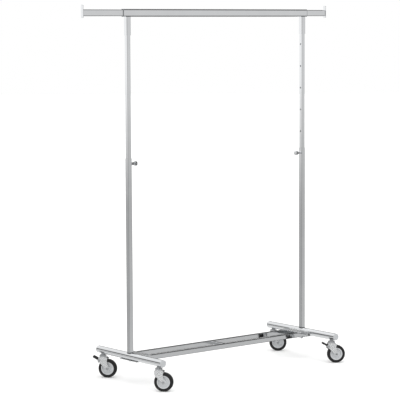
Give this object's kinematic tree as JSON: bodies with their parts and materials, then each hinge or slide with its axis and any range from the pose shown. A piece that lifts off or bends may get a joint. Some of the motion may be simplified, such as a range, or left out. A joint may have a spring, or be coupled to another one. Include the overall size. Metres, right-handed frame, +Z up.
{
  "type": "rolling clothes rack",
  "caption": "Chrome rolling clothes rack with a lift-off hang rail, pull-out rail ends, telescoping posts with spring plungers and a castered twin-rail base.",
  "frame": {"origin": "on the floor, midway between the two posts", "axes": "+X along the hang rail towards its shorter-drawn extension, -Y the front, +Z up"},
  "size_m": [1.68, 0.6041, 1.988],
  "materials": {
    "chrome_tube": "polished chrome plate",
    "bright_zinc": "bright zinc-plated pressed steel",
    "plated_fastener": "zinc-plated turned steel",
    "grey_nylon": "dark grey nylon",
    "cap_plastic": "light grey moulded plastic",
    "hub_plastic": "light grey moulded plastic",
    "black_rubber": "matt black solid rubber",
    "pedal_plastic": "black moulded nylon",
    "spring_steel": "oiled spring steel"
  },
  "bodies": {
    "base": {"left_leg": "chrome_tube", "right_leg": "chrome_tube", "leg_end_caps": "cap_plastic", "front_base_rail": "chrome_tube", "rear_base_rail": "chrome_tube", "left_base_bracket": "chrome_tube", "right_base_bracket": "chrome_tube", "rail_spacer": "chrome_tube", "base_bolts": "plated_fastener", "upright_bolts": "plated_fastener", "left_foot": "grey_nylon", "right_foot": "grey_nylon", "left_upright": "chrome_tube", "right_upright": "chrome_tube", "caster_sockets": "plated_fastener", "caster_stems": "plated_fastener", "left_plunger_barrel": "chrome_tube", "right_plunger_barrel": "chrome_tube", "left_plunger_spring": "spring_steel", "right_plunger_spring": "spring_steel"},
    "left_plunger": {"left_plunger_pin": "plated_fastener", "left_knob": "chrome_tube"},
    "left_post": {"left_post": "chrome_tube"},
    "right_plunger": {"right_plunger_pin": "plated_fastener", "right_knob": "chrome_tube"},
    "right_post": {"right_post": "chrome_tube"},
    "hang_rail": {"hang_rail": "chrome_tube", "rail_sleeves": "chrome_tube", "guide_collars": "grey_nylon"},
    "left_extension": {"left_extension": "chrome_tube", "left_end_stop": "chrome_tube"},
    "right_extension": {"right_extension": "chrome_tube", "right_end_stop": "chrome_tube"},
    "left_rear_fork": {"left_rear_fork": "bright_zinc", "left_rear_bearing": "plated_fastener", "left_rear_axle": "plated_fastener", "left_rear_pedal_pin": "plated_fastener"},
    "left_rear_wheel": {"left_rear_hub": "hub_plastic", "left_rear_tyre": "black_rubber"},
    "left_rear_pedal": {"left_rear_pedal": "pedal_plastic"},
    "left_front_fork": {"left_front_fork": "bright_zinc", "left_front_bearing": "plated_fastener", "left_front_axle": "plated_fastener"},
    "left_front_wheel": {"left_front_hub": "hub_plastic", "left_front_tyre": "black_rubber"},
    "right_rear_fork": {"right_rear_fork": "bright_zinc", "right_rear_bearing": "plated_fastener", "right_rear_axle": "plated_fastener"},
    "right_rear_wheel": {"right_rear_hub": "hub_plastic", "right_rear_tyre": "black_rubber"},
    "right_front_fork": {"right_front_fork": "bright_zinc", "right_front_bearing": "plated_fastener", "right_front_axle": "plated_fastener", "right_front_pedal_pin": "plated_fastener"},
    "right_front_wheel": {"right_front_hub": "hub_plastic", "right_front_tyre": "black_rubber"},
    "right_front_pedal": {"right_front_pedal": "pedal_plastic"}
  },
  "joints": [
    {"name": "height_left", "type": "slide", "parent": "base", "child": "left_post", "axis": [0, 0, 1], "range_m": [-0.61, 0]},
    {"name": "height_right", "type": "slide", "parent": "base", "child": "right_post", "axis": [0, 0, 1], "range_m": [-0.61, 0]},
    {"name": "rail_lift_off", "type": "slide", "parent": "left_post", "child": "hang_rail", "axis": [0, 0, 1], "range_m": [0, 0.12]},
    {"name": "left_extension_slide", "type": "slide", "parent": "hang_rail", "child": "left_extension", "axis": [-1, 0, 0], "range_m": [-0.25, 0.05]},
    {"name": "right_extension_slide", "type": "slide", "parent": "hang_rail", "child": "right_extension", "axis": [1, 0, 0], "range_m": [-0.138, 0.162]},
    {"name": "left_plunger_pull", "type": "slide", "parent": "base", "child": "left_plunger", "axis": [1, 0, 0], "range_m": [-0.0045, 0.0025], "stiffness_N_per_m": 600, "springref_m": -0.0045},
    {"name": "right_plunger_pull", "type": "slide", "parent": "base", "child": "right_plunger", "axis": [-1, 0, 0], "range_m": [-0.0045, 0.0025], "stiffness_N_per_m": 600, "springref_m": -0.0045},
    {"name": "left_rear_swivel", "type": "hinge", "parent": "base", "child": "left_rear_fork", "pos_m": [-0.61, 0.245, 0.118], "axis": [0, 0, 1], "continuous": true},
    {"name": "left_rear_roll", "type": "hinge", "parent": "left_rear_fork", "child": "left_rear_wheel", "pos_m": [-0.5926, 0.22568, 0.05], "axis": [0.7431, 0.6691, 0], "continuous": true},
    {"name": "left_rear_brake", "type": "hinge", "parent": "left_rear_fork", "child": "left_rear_pedal", "pos_m": [-0.62271, 0.25912, 0.094], "axis": [-0.7431, -0.6691, 0], "range_deg": [0, 12]},
    {"name": "left_front_swivel", "type": "hinge", "parent": "base", "child": "left_front_fork", "pos_m": [-0.61, -0.245, 0.118], "axis": [0, 0, 1], "continuous": true},
    {"name": "left_front_roll", "type": "hinge", "parent": "left_front_fork", "child": "left_front_wheel", "pos_m": [-0.5926, -0.26432, 0.05], "axis": [0.7431, 0.6691, 0], "continuous": true},
    {"name": "right_rear_swivel", "type": "hinge", "parent": "base", "child": "right_rear_fork", "pos_m": [0.61, 0.245, 0.118], "axis": [0, 0, 1], "continuous": true},
    {"name": "right_rear_roll", "type": "hinge", "parent": "right_rear_fork", "child": "right_rear_wheel", "pos_m": [0.62992, 0.22829, 0.05], "axis": [0.6428, 0.766, 0], "continuous": true},
    {"name": "right_front_swivel", "type": "hinge", "parent": "base", "child": "right_front_fork", "pos_m": [0.61, -0.245, 0.118], "axis": [0, 0, 1], "continuous": true},
    {"name": "right_front_roll", "type": "hinge", "parent": "right_front_fork", "child": "right_front_wheel", "pos_m": [0.63205, -0.25878, 0.05], "axis": [0.5299, 0.848, 0], "continuous": true},
    {"name": "right_front_brake", "type": "hinge", "parent": "right_front_fork", "child": "right_front_pedal", "pos_m": [0.59389, -0.23493, 0.094], "axis": [-0.5299, -0.848, 0], "range_deg": [0, 12]}
  ],
  "couplings": [
    {"joint": "height_right", "follows": "height_left", "ratio": 1}
  ]
}
